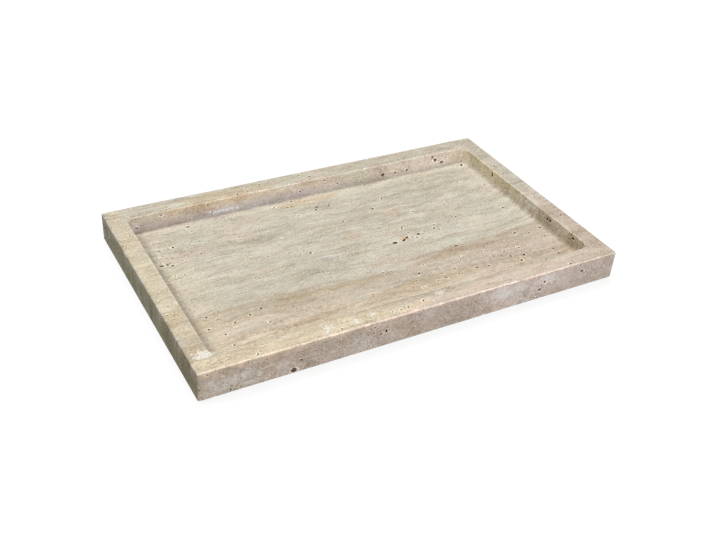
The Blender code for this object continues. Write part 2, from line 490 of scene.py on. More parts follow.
def is_free(kind, centre, reach):
    """True if a blob of that reach stays clear of those of its kind, which it then joins."""
    if any((centre - other).length < reach + far for other, far in taken[kind]):
        return False
    taken[kind].append((centre, reach))
    return True


# %% [markdown]
# The mouth of a void crumbles a little when the face is honed, and shows a narrow ring of fresh, pale
# stone. So each larger void has two cutters: a flat one, wider than the void and a tenth of a
# millimetre deep, which leaves the ring, and the deep one.

# %% Cutters of one void
FULL_DETAIL_FROM = 1.5 * MM
FULL_DETAIL, PLAIN_DETAIL = 3, 2
MOUTH_DEPTH_SHARE = 0.25
BLOB_MARGIN = 1.2
RING_REACH, RING_DEPTH, RING_FROM = 0.65 * MM, 0.12 * MM, 1.0 * MM

voids, rings = bmesh.new(), bmesh.new()


def add_void(face, u, v, length, width, depth, degrees, seed):
    """Cut one void into a face. The widest part of the blob lies just under the surface."""
    corner, along, down = (Vector(row) for row in FACES[face])
    mouth = corner + along * u + down * v
    along_turned, down_turned = slanted(along, down, degrees)
    size = (length / 2, width / 2, depth * (1 - MOUTH_DEPTH_SHARE))
    centre = mouth + along.cross(down) * (depth * MOUTH_DEPTH_SHARE)
    if not is_free("void", centre, max(size) * BLOB_MARGIN):
        return 0
    detail = FULL_DETAIL if length > FULL_DETAIL_FROM else PLAIN_DETAIL
    add_blob(voids, centre, along_turned, down_turned, size, seed, detail)
    if length > RING_FROM and is_free("flake", mouth, max(size) + RING_REACH):
        size = (size[0] + RING_REACH, size[1] + RING_REACH, RING_DEPTH)
        add_blob(rings, mouth, along_turned, down_turned, size, seed + 0.5, FULL_DETAIL, rough=0.8)
    return 1


# The mouths were measured between their dark middles, so they are a little wider than the rows say
WIDER, DEEPER = 1.2, 1.15
placed = 0
for face, rows in VOIDS.items():
    for number, (u, v, length, width, depth, degrees) in enumerate(sorted(rows, key=lambda row: -row[2])):
        sizes = (value * MM for value in (u, v, length * WIDER, width * WIDER, depth * DEEPER))
        placed += add_void(face, *sizes, degrees, number + len(face))
print("voids cut by hand:", placed)

# %% [markdown]
# A large void seldom comes alone. Where the bed was full of moss, a few small holes stand close by.

# %% Small holes beside the large voids
WITH_HOLES_FROM, HOLES_EACH = 1.6, 4
HOLE_SIZES, HOLE_GAPS = (0.5, 1.0), (0.9, 2.0)
HOLE_WIDTH_SHARE, HOLE_DEPTH_SHARE = 0.75, 0.7
# On the top the holes lie closer to the bed of their void than on the other faces
NEAR_BED, NEAR_VOID = 0.45, 0.8
draw = random.Random(7)
beside = 0
for face, rows in VOIDS.items():
    for u, v, length, width, depth, degrees in rows:
        if length < WITH_HOLES_FROM:
            continue
        for _ in range(HOLES_EACH):
            size, heading = draw.uniform(*HOLE_SIZES), draw.uniform(0, 2 * math.pi)
            away = length * WIDER / 2 + draw.uniform(*HOLE_GAPS) + size / 2
            across = NEAR_BED if face in ("floor", "rim") else NEAR_VOID
            spot = (u + away * math.cos(heading), v + across * away * math.sin(heading))
            sizes = (*spot, size, size * HOLE_WIDTH_SHARE, size * HOLE_DEPTH_SHARE)
            sizes = (value * MM for value in sizes)
            beside += add_void(face, *sizes, math.degrees(heading), draw.random() * SEEDS)
print("holes beside them:", beside)

# %% [markdown]
# The scattered voids are smaller. On the rim and the floor they gather along beds, which run with the
# length of the tray, and each bed has its own spread. On the four outer faces they are strewn evenly,
# and the underside, which nobody hones, has more and larger ones.

# %% Scatter small voids
draw = random.Random(20)
BEDS, VOIDS_PER_BED = 30, (4, 12)
BED_REACH, BED_SPREAD = 35 * MM, 1.6 * MM
WIDTH_SHARES, DEPTH_SHARE = (0.5, 0.95), 0.6
COVE_MARGIN, ARRIS_MARGIN = 1.2 * MM, 1.4 * MM


def draw_size(middle, spread, largest):
    """A length from the draw, mostly small. The middle is a logarithm, the largest is in millimetres."""
    return min(draw.lognormvariate(middle, spread), largest) * MM


def scatter_void(face, u, v, size, share, slant):
    """Cut one void of the draw, with its width as a share of its length."""
    degrees, seed = draw.uniform(-slant, slant), draw.random() * SEEDS
    return add_void(face, u, v, size, size * share, size * DEPTH_SHARE, degrees, seed)


def on_top(x, y):
    """The face under a point of the plan, and the place on it, or None on a wall or an arris."""
    inside_x, inside_y = pocket_length - cove - COVE_MARGIN, pocket_width - cove - COVE_MARGIN
    if abs(x) < inside_x and abs(y) < inside_y:
        return "floor", x + pocket_length, pocket_width - y
    past_pocket = abs(x) > pocket_length + ARRIS_MARGIN or abs(y) > pocket_width + ARRIS_MARGIN
    on_slab = abs(x) < half_length - ARRIS_MARGIN and abs(y) < half_width - ARRIS_MARGIN
    return ("rim", x + half_length, half_width - y) if past_pocket and on_slab else None


scattered = 0
for _ in range(BEDS):
    bed_y = draw.uniform(-half_width, half_width)
    middle = draw.uniform(-half_length, half_length)
    for _ in range(draw.randint(*VOIDS_PER_BED)):
        x, y = draw.gauss(middle, BED_REACH), draw.gauss(bed_y, BED_SPREAD)
        size = draw_size(middle=-0.3, spread=0.35, largest=1.4)
        spot = on_top(x, y)
        if spot:
            scattered += scatter_void(*spot, size, draw.uniform(*WIDTH_SHARES), slant=25)
print("voids scattered on top:", scattered)

# %% Scatter small voids in the foamy places
# Each: the middle and the reach along X and Y in millimetres, and how many
FOAMY = [
    (94, -46, 20, 15, 34), (38, -38, 16, 9, 12), (-121, 36, 13, 8, 12), (-70, -68, 30, 4, 8),
    (50, -2, 14, 6, 10),
]
for centre_x, centre_y, reach_x, reach_y, count in FOAMY:
    for _ in range(count):
        spot = on_top(draw.gauss(centre_x, reach_x / 2) * MM, draw.gauss(centre_y, reach_y / 2) * MM)
        size = draw.uniform(0.6, 1.2) * MM
        if spot:
            scattered += scatter_void(*spot, size, share=0.8, slant=40)
print("with those in foamy places:", scattered)

# %% Scatter voids on the other faces
FACE_SIZES = {
    "front": (2 * half_length, top - underside), "back": (2 * half_length, top - underside),
    "left": (2 * half_width, top - underside), "right": (2 * half_width, top - underside),
    "underside": (2 * half_length, 2 * half_width),
}
# The distance from void to void along the face, and the middle of their sizes as a logarithm
SAWN_FACE, HONED_FACE = (4.2 * MM, 0.4), (6.5 * MM, -0.15)
for face, (along_side, across) in FACE_SIZES.items():
    spacing, log_size = SAWN_FACE if face == "underside" else HONED_FACE
    margin = corner_radius + ARRIS_MARGIN
    for _ in range(round(along_side / spacing)):
        u, v = draw.uniform(margin, along_side - margin), draw.uniform(2 * MM, across - 2 * MM)
        size = draw_size(log_size, spread=0.4, largest=3.0)
        scattered += scatter_void(face, u, v, size, draw.uniform(*WIDTH_SHARES), slant=40)
print("voids scattered in all:", scattered, "cutter faces:", len(voids.faces))

# %% [markdown]
# Chips are different from voids: they are shallow flakes lost from an edge when the slab was handled,
# and show fresh stone too. They are cut first, together with the rings, and the voids after that.

# %% Chips along the edges
CHIPS_PER_EDGE = 40
FLAKE_FLATNESS, FLAKE_SHARE = 0.38, 0.8
# Chips of the real tray, along the front's lower edge: where and how large, in millimetres
CHIPS = [(193, 2.2), (196, 1.4), (236, 2.4), (239, 1.6), (97, 1.2), (141, 1.1), (262, 1.3), (31, 1.0)]


def add_chip(centre, along, size, seed):
    """Take one flat flake off an edge."""
    if not is_free("flake", centre, size * BLOB_MARGIN):
        return 0
    flat = size * FLAKE_FLATNESS
    add_blob(rings, centre, along, Vector((0, 0, 1)), (size, flat, flat), seed, PLAIN_DETAIL, rough=0.45)
    return 1


def add_chips(path, radius, height, count):
    """Take small flakes off the edge that follows a path."""
    made = 0
    for _ in range(count):
        anchor, outward = path[draw.randrange(len(path))]
        size = draw_size(middle=-0.1, spread=0.45, largest=2.2) * FLAKE_SHARE
        flat = anchor + outward * radius
        centre = Vector((flat.x, flat.y, height))
        made += add_chip(centre, Vector((-outward.y, outward.x, 0)), size, draw.random() * SEEDS)
    return made


chip_count = 0
for u, size in CHIPS:
    edge = Vector((-half_length + u * MM, -half_width, underside))
    chip_count += add_chip(edge, Vector((1, 0, 0)), size * MM, u)
chip_count += add_chips(outer_path, corner_radius, top, CHIPS_PER_EDGE)
chip_count += add_chips(outer_path, corner_radius, underside, 2 * CHIPS_PER_EDGE)
chip_count += add_chips(pocket_path, pocket_corner, top, CHIPS_PER_EDGE // 2)
print("chips:", chip_count)

# %% [markdown]
# ## Cutting the stone
# The Boolean modifier does the cutting. A face that it makes keeps its number in the list of materials,
# so a chip can be paler and the inside of a void darker than the honed face. The manifold solver does it,
# because with hundreds of cutters a fraction of a millimetre across the exact one leaves small holes.
# The edge of every cut is marked sharp, and a Weighted Normal modifier keeps the large flat faces
# shading flat beside the small round ones.

# %% Cut the chips and the voids
stone_finishes = [bpy.data.materials.new(name) for name in ("honed_stone", "fresh_stone", "void_stone")]
HONED, FRESH, VOID = range(len(stone_finishes))


def to_object(shape, name, finish):
    """Put a bmesh on a new object, with one of the stone's finishes."""
    for face in shape.faces:
        face.material_index = finish
    mesh = bpy.data.meshes.new(name)
    shape.to_mesh(mesh)
    shape.free()
    for material in stone_finishes:
        mesh.materials.append(material)
    made = bpy.data.objects.new(name, mesh)
    scene.collection.objects.link(made)
    return made


def cut(target, cutter):
    """Take a cutter out of a piece, and remove the cutter."""
    step = target.modifiers.new("cut", "BOOLEAN")
    step.object = cutter
    step.solver = "MANIFOLD"
    bpy.context.view_layer.update()
    evaluated = target.evaluated_get(bpy.context.evaluated_depsgraph_get())
    result = bpy.data.meshes.new_from_object(evaluated)
    target.modifiers.clear()
    target.data = result
    bpy.data.objects.remove(cutter, do_unlink=True)


stone = to_object(slab, "travertine_slab", HONED)
cut(stone, to_object(rings, "chip_cutter", FRESH))
cut(stone, to_object(voids, "void_cutter", VOID))

# %% Shade the stone and place it in the model
SHARP_ANGLE = math.radians(40)
stone.data.shade_smooth()
stone.data.set_sharp_from_angle(angle=SHARP_ANGLE)

shape = bmesh.new()
shape.from_mesh(stone.data)
for edge in shape.edges:
    if len({face.material_index for face in edge.link_faces}) > 1:
        edge.smooth = False
loose = sum(not edge.is_manifold for edge in shape.edges)
print("stone faces:", len(shape.faces), "open edges:", loose)
shape.to_mesh(stone.data)
shape.free()

weighted = stone.modifiers.new("flat_faces", "WEIGHTED_NORMAL")
weighted.keep_sharp = True
weighted.weight = 100

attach(stone, "root")
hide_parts("stone_tray")


# %% [markdown]
# ## The beds of the stone
# Every finish of this stone starts from the same question: where does a point lie among the beds? They
# stand on edge here, so they follow each other across the tray's width and run with its length. The
# group below bends them with three noises, from a slow drift to a fine quiver, and puts out the bent
# place. A noise that is read at that place, and stretched along it, looks laid down in beds.

# %% Noise with a grain in millimetres
def cloud(tree, place, size, detail=2.0, rough=0.5, shift=0.0, twist=0.0):
    """A noise about nought. Its grain is given in millimetres along X, Y and Z."""
    shares = tuple(1 / side for side in size)
    inputs = {0: place, 1: shares, 2: (shift, shift, shift)}
    spot = add(tree, "VectorMath", inputs, operation="MULTIPLY_ADD").outputs[0]
    inputs = {"Vector": spot, "Scale": 1.0, "Detail": detail, "Roughness": rough, "Distortion": twist}
    return maths(tree, "SUBTRACT", add(tree, "TexNoise", inputs).outputs[0], 0.5)


# %% Group: beds
inputs = {"Place": None, "Drift": 13.0, "Ripple": 7.0, "Quiver": 2.0}
beds, given, end = new_group("stone beds", inputs, ["Bed Place"], kind="Vector")
drift = cloud(beds, given["Place"], (70, 60, 60), detail=1.0)
ripple = cloud(beds, given["Place"], (22, 12, 16), detail=2.0, shift=7.3)
quiver = cloud(beds, given["Place"], (6, 4, 5), detail=1.0, shift=3.1)
axes = add(beds, "SeparateXYZ", {0: given["Place"]}).outputs
waves = ((drift, given["Drift"]), (ripple, given["Ripple"]), (quiver, given["Quiver"]))
bent = total(beds, axes["Y"], *waves)
beds.links.new(add(beds, "CombineXYZ", {0: axes["X"], 1: bent, 2: axes["Z"]}).outputs[0], end.inputs[0])

# %% [markdown]
# ## Streaks
# Within the beds the stone is laminated, as the hot water left one thin skin after another. Three noises
# make that up, each about three times finer than the last and less stretched, because the finest grain
# of the real stone runs no particular way. Their sum is the tone, and a separate noise is the tint.

# %% Group: streaks
inputs = {"Bed Place": None, "Bands": 0.5, "Layers": 0.7, "Threads": 0.55}
streaks, given, end = new_group("bed streaks", inputs, ["Tone", "Tint"])
bands = cloud(streaks, given["Bed Place"], (60, 8, 40), detail=2.0)
layers = cloud(streaks, given["Bed Place"], (24, 2.5, 18), detail=2.0, rough=0.5, shift=5.7, twist=0.6)
threads = cloud(streaks, given["Bed Place"], (2.8, 1.3, 2.4), detail=2.0, rough=0.6, shift=2.9, twist=0.6)
shares = ((bands, given["Bands"]), (layers, given["Layers"]), (threads, given["Threads"]))
tone = total(streaks, 0.0, *shares)
streaks.links.new(tone, end.inputs["Tone"])
tint = cloud(streaks, given["Bed Place"], (34, 9, 24), detail=2.0, shift=11.9)
streaks.links.new(tint, end.inputs["Tint"])

# %% [markdown]
# ## Grain
# Honed travertine is a mass of tiny calcite crystals, so close up it is mottled and very slightly uneven.
# This group gives the clouds that drift through the beds, the mottle of the crystals, both about nought,
# and a height for the bump. Some places are coarser than others.

# %% Group: grain
grain, given, end = new_group("calcite grain", {"Place": None}, ["Cloud", "Mottle", "Height"])
drifting = cloud(grain, given["Place"], (13, 8, 11), detail=4.0, rough=0.6, shift=4.1)
coarse = cloud(grain, given["Place"], (1.3, 1.1, 1.2), detail=2.0, rough=0.6)
fine = cloud(grain, given["Place"], (0.5, 0.5, 0.5), detail=2.0, rough=0.6, shift=1.7)
grain.links.new(drifting, end.inputs["Cloud"])
coarseness = cloud(grain, given["Place"], (15, 6, 12), detail=2.0, shift=9.4)
coarser = smooth(grain, coarseness, -0.12, 0.14, 0.5, 1.6)
mottle = times(grain, total(grain, coarse, (fine, 0.5)), coarser)
grain.links.new(mottle, end.inputs["Mottle"])
grain.links.new(total(grain, 0.5, (coarse, 0.4), (fine, 1.0)), end.inputs["Height"])

# %% [markdown]
# ## Fine lines
# Between the beds run thin, darker lines that wander, split and fade. They are the level curves of a
# noise that is stretched along the beds: wherever it crosses its middle value, there is a line. A second
# noise lets some of them fade.

# %% Group: fine lines
inputs = {"Bed Place": None, "Width": 0.02, "Shift": (0, 0, 0)}
lines, given, end = new_group("bed lines", inputs, ["Line"])
moved = add(lines, "VectorMath", {0: given["Bed Place"], 1: given["Shift"]}).outputs[0]
level = cloud(lines, moved, (70, 10, 50), detail=3.0, rough=0.5)
crossing = smooth(lines, maths(lines, "ABSOLUTE", level), 0.0, given["Width"], 1.0, 0.0)
fade = smooth(lines, cloud(lines, moved, (30, 12, 30), shift=6.1), -0.02, 0.12)
lines.links.new(times(lines, crossing, fade), end.inputs["Line"])

# %% [markdown]
# ## Filled pores
# Many old voids have been filled by nature with white calcite. They are small, pale and ragged, and some
# have a darker rim. Cells of a Voronoi texture make them: each cell keeps its own random numbers, which
# say whether it is a pore and how large it is.

# %% A place that a noise has pushed about
def warped_place(tree, place, scale, reach):
    """The place, moved by up to a reach in millimetres, which makes round cells ragged."""
    push = add(tree, "TexNoise", {"Vector": place, "Scale": scale, "Detail": 2.0}).outputs["Color"]
    inputs = {0: push, 1: (reach, reach, reach), 2: place}
    return add(tree, "VectorMath", inputs, operation="MULTIPLY_ADD").outputs[0]


# %% Dots of random size, in some of the cells
SMALLEST_REACH = 0.10


def random_dots(tree, place, given, spread, soft):
    """The dots, the distance from their middles, their reach, and which of them are kept."""
    per_mm = maths(tree, "DIVIDE", 1.0, given["Spacing"])
    cells = add(tree, "TexVoronoi", {"Vector": place, "Scale": per_mm}).outputs
    own = add(tree, "SeparateXYZ", {0: cells["Color"]}).outputs
    reach = total(tree, SMALLEST_REACH, (own["X"], spread))
    dots = smooth(tree, cells["Distance"], times(tree, reach, soft), reach, 1.0, 0.0)
    return dots, cells["Distance"], reach, maths(tree, "LESS_THAN", own["Y"], given["Share"])


# %% Group: filled pores
inputs = {"Place": None, "Spacing": 3.4, "Share": 0.2}
pores, given, end = new_group("filled pores", inputs, ["Filled", "Rim"])
ragged = warped_place(pores, given["Place"], scale=0.9, reach=1.4)
filled, distance, reach, kept = random_dots(pores, ragged, given, spread=0.28, soft=0.6)
pores.links.new(times(pores, filled, kept), end.inputs["Filled"])
past_edge = maths(pores, "ABSOLUTE", maths(pores, "SUBTRACT", distance, reach))
pores.links.new(times(pores, smooth(pores, past_edge, 0.0, 0.09, 1.0, 0.0), kept), end.inputs["Rim"])

# %% [markdown]
# ## Calcite cells
# In some places the stone is a foam: round cells of a few millimetres with thin, white walls of calcite.
# The walls are where two cells of a Voronoi texture meet, and a noise lets them come and go.

# %% Group: calcite cells
foam, given, end = new_group("calcite cells", {"Place": None, "Spacing": 2.4}, ["Wall"])
warped = warped_place(foam, given["Place"], scale=0.5, reach=3)
per_mm = maths(foam, "DIVIDE", 1.0, given["Spacing"])
inputs = {"Vector": warped, "Scale": per_mm}
cells = add(foam, "TexVoronoi", inputs, feature="DISTANCE_TO_EDGE")
wall = smooth(foam, cells.outputs["Distance"], 0.02, 0.2, 1.0, 0.0)
fade = smooth(foam, cloud(foam, given["Place"], (4, 4, 4), shift=5.2), -0.1, 0.12)
foam.links.new(times(foam, wall, fade), end.inputs["Wall"])

# %% [markdown]
# ## Patches
# The colour drifts over the slab: a greener middle, a pinker front, a rusty spot beside some voids. Each
# drift is a soft-edged patch with a place and a reach in millimetres. A noise, made once for all of
# them, breaks their edges. A patch of the pocket floor tints only what faces up, or it would show as a
# band on the front face, which lies close by at the same height. Some of the tinting patches are not
# the stone's colour but painted light and shade, and each of those is marked where it is listed.

# %% Group: patch
inputs = {"Place": None, "Centre": None, "Reach": None, "Ragged": 0.0, "Edge": 0.5}
patch, given, end = new_group("soft patch", inputs, ["Inside"])
apart = add(patch, "VectorMath", {0: given["Place"], 1: given["Centre"]}, operation="SUBTRACT").outputs[0]
shares = add(patch, "VectorMath", {0: apart, 1: given["Reach"]}, operation="DIVIDE").outputs[0]
distance = add(patch, "VectorMath", {0: shares}, operation="LENGTH").outputs["Value"]
distance = maths(patch, "ADD", distance, given["Ragged"])
near = maths(patch, "SUBTRACT", 1.0, given["Edge"])
patch.links.new(smooth(patch, distance, near, 1.1, 1.0, 0.0), end.inputs["Inside"])

# %% [markdown]
# ## Pinholes
# Below the size of a cut void the stone is peppered with pinholes, each with a thin pale crust round it.
# They are cells of a Voronoi texture, kept only where a slow noise says that the bed is porous.

# %% Group: pinholes
inputs = {"Place": None, "Bed Place": None, "Spacing": 2.1, "Share": 0.4}
pinholes, given, end = new_group("pinholes", inputs, ["Hole", "Crust"])
dots, distance, reach, kept = random_dots(pinholes, given["Place"], given, spread=0.26, soft=0.5)
porous = smooth(pinholes, cloud(pinholes, given["Bed Place"], (30, 7, 20), shift=8.8), -0.06, 0.1)
kept = times(pinholes, kept, porous)
pinholes.links.new(times(pinholes, dots, kept), end.inputs["Hole"])
crust = smooth(pinholes, distance, reach, maths(pinholes, "ADD", reach, 0.16), 1.0, 0.0)
crust = maths(pinholes, "SUBTRACT", crust, dots)
pinholes.links.new(times(pinholes, crust, kept), end.inputs["Crust"])

# %% [markdown]
# ## Arris: wear and painted highlight
# The edges round the top have been rubbed by hand, and the stone there is a little paler and smoother.
# Part of that paleness is a painted highlight, for the thin light lines that the lamps draw along these
# edges. The arris is where the surface faces none of the three main ways, close to the top.

# %% Group: worn arris, which also carries a painted highlight
inputs = {"Place": None, "Facing": None, "Height": 1.1}
worn_and_highlit_edges, given, end = new_group("worn and highlit arris", inputs, ["Worn"])
facing = add(worn_and_highlit_edges, "VectorMath", {0: given["Facing"]}, operation="ABSOLUTE").outputs[0]
facing = add(worn_and_highlit_edges, "SeparateXYZ", {0: facing}).outputs
level = add(worn_and_highlit_edges, "SeparateXYZ", {0: given["Place"]}).outputs["Z"]
sides = maths(worn_and_highlit_edges, "MAXIMUM", facing["X"], facing["Y"])
squarest = maths(worn_and_highlit_edges, "MAXIMUM", sides, facing["Z"])
slant = smooth(worn_and_highlit_edges, squarest, 0.995, 0.9)
below_top = maths(worn_and_highlit_edges, "SUBTRACT", top / MM, level)
near = maths(worn_and_highlit_edges, "LESS_THAN", below_top, given["Height"])
worn_and_highlit_edges.links.new(times(worn_and_highlit_edges, slant, near), end.inputs["Worn"])

# %% [markdown]
# ## Saw marks
# The underside is left as the saw cut it, with fine, nearly straight grooves across the slab.

# %% Group: saw marks
# A wave texture of scale 1 repeats after this many millimetres
WAVE_REPEAT = 0.3142
inputs = {"Place": None, "Facing": None, "Spacing": 1.3}
saw_marks, given, end = new_group("saw marks", inputs, ["Groove"])
facing = add(saw_marks, "SeparateXYZ", {0: given["Facing"]}).outputs["Z"]
below = smooth(saw_marks, facing, -0.9, -0.98)
per_mm = maths(saw_marks, "DIVIDE", WAVE_REPEAT, given["Spacing"])
inputs = {"Vector": given["Place"], "Scale": per_mm, "Distortion": 1.2, "Detail": 1.0}
wave = add(saw_marks, "TexWave", inputs, bands_direction="X").outputs["Fac"]
saw_marks.links.new(times(saw_marks, wave, below), end.inputs["Groove"])

# %% [markdown]
# ## Seams
# Two beds of the pocket floor meet along lines that can be followed from end to end. Each is drawn as a
# curve: places along the tray, and how far across it the seam lies there. The group puts out how far a
# point lies past the seam, and a quiver keeps the line from looking drawn.

# %% Seams of the real tray, in millimetres
SEAMS = {
    "tan_seam": [
        (-150, -31), (-111, -29), (-71, -28), (-51, -33), (-25, -33), (1, -34), (27, -33), (43, -30),
        (59, -25), (71, -26), (103, -24), (150, -21),
    ],
    "pink_seam": [
        (-150, -66), (-97, -62), (-71, -57), (-41, -56), (-25, -54), (3, -50), (19, -48.4), (43, -49),
        (80, -52), (150, -56),
    ],
}
SEAM_REACH = 160


def seam_group(name, points):
    """A group that puts out the distance past a seam, in millimetres towards the front."""
    group, given, end = new_group(name, {"Place": None, "Quiver": 3.0}, ["Past"])
    axes = add(group, "SeparateXYZ", {0: given["Place"]}).outputs
    along = total(group, 0.5, (axes["X"], 0.5 / SEAM_REACH))
    curve = add(group, "FloatCurve", {"Value": along})
    line = curve.mapping.curves[0]
    while len(line.points) < len(points):
        line.points.new(0.5, 0.5)
    for point, (x, y) in zip(line.points, points):
        point.location = (0.5 + 0.5 * x / SEAM_REACH, 0.5 + 0.5 * y / SEAM_REACH)
    curve.mapping.update()
    seam = total(group, -SEAM_REACH, (curve.outputs[0], 2 * SEAM_REACH))
    quiver = cloud(group, given["Place"], (9, 9, 7), detail=3.0, rough=0.6)
    past = maths(group, "SUBTRACT", seam, axes["Y"])
    group.links.new(total(group, past, (quiver, given["Quiver"])), end.inputs["Past"])
    return group


seams = {name: seam_group(name, points) for name, points in SEAMS.items()}

# %% [markdown]
# ## Travertine
# The stone's colour is built up in the order in which it formed. First comes the tone of the beds, from
# brown through cream to chalk. Then the soft drifts of colour, each a patch or a seam that tints what is
# there; some of the patches are painted light and shade. Then the thin lines, the filled pores, the
# mottle of the crystals, and last the pinholes.

# %% Colours of the stone
TONES = [
    (0.0, (0.28, 0.232, 0.165)), (0.3, (0.49, 0.433, 0.342)), (0.5, (0.605, 0.550, 0.448)),
    (0.7, (0.70, 0.650, 0.545)), (1.0, (0.83, 0.795, 0.705)),
]
CHALK, LINE_BROWN, HOLE_BROWN = (0.77, 0.76, 0.69), (0.37, 0.305, 0.225), (0.17, 0.12, 0.08)
CREAM, ROSE, WHITER = (0.86, 0.82, 0.72), (0.74, 0.68, 0.625), (0.93, 0.88, 0.84)
RUST = (0.60, 0.36, 0.17)
PINKER, GREENER = (1.02, 0.985, 0.955), (0.98, 1.004, 0.99)
# The arris tint is partly paler, worn stone and partly a painted highlight.
WORN_AND_HIGHLIGHT_TINT, LIGHTER = (1.22, 1.20, 1.18), (1.30, 1.30, 1.34)

# %% Patches that tint: tint, centre, reach
TINTS = [
    ((1.22, 1.175, 1.09), (-85, -85, 22), (105, 9, 6)),
    ((1.12, 1.055, 1.09), (80, -85, 22), (105, 9, 6)),
    # Painted shade: the second patch on the next line darkens the back rim and the top of the back face,
    # for light that falls off towards the back.
    ((1.08, 1.04, 0.95), (-144, 10, 22), (8, 100, 6)), ((0.92, 0.905, 0.89), (20, 84, 22), (170, 9, 6)),
    ((1.016, 0.96, 0.872), (-70, 80, 20), (45, 9, 8)),
    # Painted shade: the back half of the right rim is darker, for light that falls off towards the back.
    ((0.935, 0.93, 0.935), (144, 50, 22), (8, 60, 6)),
    ((0.965, 0.885, 0.9), (144, -40, 22), (8, 60, 6)),
    ((1.025, 0.96, 1.035), (0, -90, 11), (220, 1.6, 24)),
    ((1.15, 1.14, 1.2), (105, -90, 11), (80, 1.6, 24)),
    # Painted highlight: a paler line along the front outer arris.
    ((1.15, 1.17, 1.21), (-60, -90, 21.8), (170, 1.6, 1.6)),
    ((1.02, 1.08, 1.02), (100, -90, 21.8), (90, 1.6, 1.6)),
    # Painted shade: a darker line along the pocket's front mouth, whose arris faces away from the front
    # lamp.
    ((0.82, 0.79, 0.76), (0, -76, 21.6), (150, 1.3, 1.6)),
    # Painted highlight: a paler line along the pocket's left mouth.
    ((1.16, 1.15, 1.15), (-137, 0, 21.6), (1.3, 90, 1.6)),
    # Painted shade on the left end, which faces away from the lamps: the end face is darker and more
    # olive, most of all towards the front, and the arris along its top is darker too.
    ((0.94, 0.92, 0.9), (-150, -62, 11), (3, 50, 16)), ((0.75, 0.76, 0.61), (-150, 0, 9), (3, 130, 12)),
    ((0.84, 0.86, 0.84), (-150, 0, 21.8), (1.3, 130, 1.6)),
    ((0.991, 0.91, 0.91), (-40, 76, 19), (70, 3, 4)), ((0.91, 0.88, 1), (-50, 75, 13), (110, 4, 5)),
    # The second patch on the next line makes the back half of the pocket's right wall more olive, and
    # lighter as painted light.
    ((1.12, 1.06, 1.12), (95, 76, 16), (60, 3, 9)), ((1.12, 1.08, 0.95), (137, 40, 18), (3, 50, 6)),
    ((0.93, 0.9, 0.88), (137, -40, 13), (3, 45, 5)),
]

# %% Patches that tint only the pocket floor, not the faces beside it
FLOOR_TINTS = [
    ((1.018, 1, 0.955), (-122, 0, 11), (18, 80, 5)),
    # Painted shade: a dark band on the pocket floor along its left wall, where the wall's shadow falls.
    ((0.82, 0.79, 0.82), (-133.5, 0, 11), (3.6, 90, 4)),
    # Painted light: these two patches lighten the pocket floor behind its front wall, where the low front
    # lamp casts the wall's shadow.
    ((1.27, 1.23, 1.22), (0, -76, 11), (220, 28, 5)), ((1.07, 1.05, 1.06), (0, -50, 11), (170, 18, 5)),
    ((1.11, 1.1, 1.09), (-108, -56, 11), (48, 24, 5)), ((0.95, 0.95, 0.95), (0, 62, 11), (170, 56, 5)),
    ((1.1, 1.1, 1.11), (0, 74, 11), (145, 13, 5)), ((1.045, 0.973, 0.892), (-8, 67, 11), (25, 6, 6)),
    ((1.024, 0.968, 0.944), (-72, 48, 11), (16, 12, 6)),
    ((0.944, 0.92, 0.944), (-106, 38, 11), (16, 8, 6)),
    ((0.92, 0.888, 0.856), (-66, 33, 11), (9, 5, 5)), ((1.016, 0.96, 0.936), (4, 11, 11), (9, 9, 6)),
    ((1, 0.958, 0.93), (43, 30, 11), (9, 7, 6)), ((0.976, 1.016, 1.056), (-27, -4, 11), (11, 4, 5)),
    ((0.984, 1.024, 1.064), (77, -5, 11), (9, 5, 5)),
    ((0.883, 0.856, 0.7975), (-66, -37, 11), (22, 7.5, 8)),
    ((0.944, 0.902, 0.853), (-20, -37, 11), (24, 4, 8)),
    ((0.951, 0.916, 0.909), (60, -30, 11), (50, 6, 8)), ((1, 0.96, 0.96), (95, -50, 11), (60, 30, 10)),
    ((0.972, 0.944, 0.965), (-115, -63, 11), (9, 5, 5)),
    ((0.944, 0.912, 0.848), (20, -56, 11), (42, 8, 6)),
]

# %% Patches of their own colour: colour, centre, reach, strength
SPOTS = [
    (RUST, (34.5, -4, 11), (4.4, 2.6, 3), 0.85), (RUST, (35.5, -0.5, 11), (3.2, 2.4, 3), 0.45),
    (CREAM, (-141, -75.6, 22), (6.5, 4.6, 4), 0.9), (CREAM, (-66, -82, 22), (4.0, 2.6, 3), 0.95),
    (CREAM, (-68, -86, 22), (3.4, 2.0, 3), 0.95), (CREAM, (-48.5, -84, 22), (4.2, 3.8, 3), 0.95),
    (CREAM, (-36, -82, 22), (4.0, 2.2, 3), 0.8), (CREAM, (14, -80, 22), (4.0, 2.6, 3), 0.6),
    (CHALK, (-43, 30, 11), (2.2, 1.6, 2), 0.8), (CREAM, (17, -58.4, 11), (3.2, 2.6, 2), 0.8),
    (CHALK, (58, 23.6, 11), (3.2, 1.4, 2), 0.6),
    (ROSE, (-133, -90, 9), (8, 3, 6), 0.4), (ROSE, (-122, -90, 11), (9, 3, 4), 0.4),
    (ROSE, (-98, -90, 11), (6, 3, 4), 0.2), (ROSE, (-83, -90, 12), (3, 3, 3), 0.3),
    (WHITER, (57, -90, 15), (11, 3, 6), 0.7), (WHITER, (70, -90, 16), (7, 3, 4), 0.6),
    (WHITER, (93, -90, 16), (9, 3, 6), 0.75), (ROSE, (-1, -90, 19), (6, 3, 3), 0.25),
    # Painted highlight: a pale streak along the cove at the foot of the back wall.
    ((0.82, 0.80, 0.81), (-65, 75.5, 12.7), (15, 3, 1.4), 0.9),
]
SPOT_BREAK, SPOT_EDGE = 0.22, 0.3

